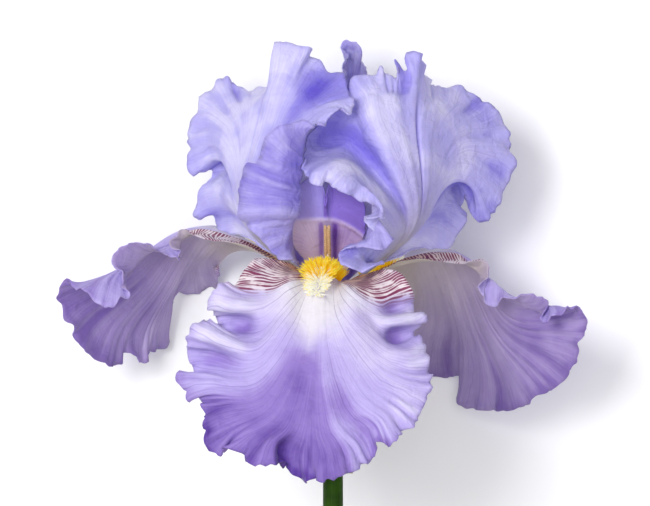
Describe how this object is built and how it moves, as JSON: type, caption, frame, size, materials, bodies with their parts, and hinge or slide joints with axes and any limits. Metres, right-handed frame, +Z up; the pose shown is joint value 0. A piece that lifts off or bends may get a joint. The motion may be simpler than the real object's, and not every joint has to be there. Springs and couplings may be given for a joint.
{
  "type": "iris flower",
  "caption": "Cut bearded iris bloom with upright ruffled standards, drooping ruffled falls, yellow beards and a short green stem, lying down.",
  "frame": {"origin": "centre of the bounding box at its lowest plane, the surface that the flower lies on", "axes": "+Y up the flower, away from the stem; +Z up, the way that the front fall and its beard face; +X to the right as seen from above with the stem at the bottom"},
  "size_m": [0.1584, 0.1666, 0.1062],
  "materials": {
    "stem_green": "smooth waxy green stalk",
    "spathe_green": "papery leaf",
    "fall_petal": "soft violet petal, paler at the margin",
    "standard_petal": "soft lavender petal",
    "style_violet": "violet style arm",
    "anther_tan": "dusty tan anther",
    "beard_yellow": "yellow hairs"
  },
  "bodies": {
    "root": {"stem": "stem_green", "spathe_inner": "spathe_green", "spathe_outer": "spathe_green", "fall_front": "fall_petal", "fall_left": "fall_petal", "fall_right": "fall_petal", "standard_left": "standard_petal", "standard_right": "standard_petal", "standard_rear": "standard_petal", "style_arm_front": "style_violet", "style_arm_left": "style_violet", "style_arm_right": "style_violet", "stamen_front": "anther_tan", "stamen_left": "anther_tan", "stamen_right": "anther_tan", "beard_front": "beard_yellow", "beard_left": "beard_yellow", "beard_right": "beard_yellow"}
  },
  "joints": []
}
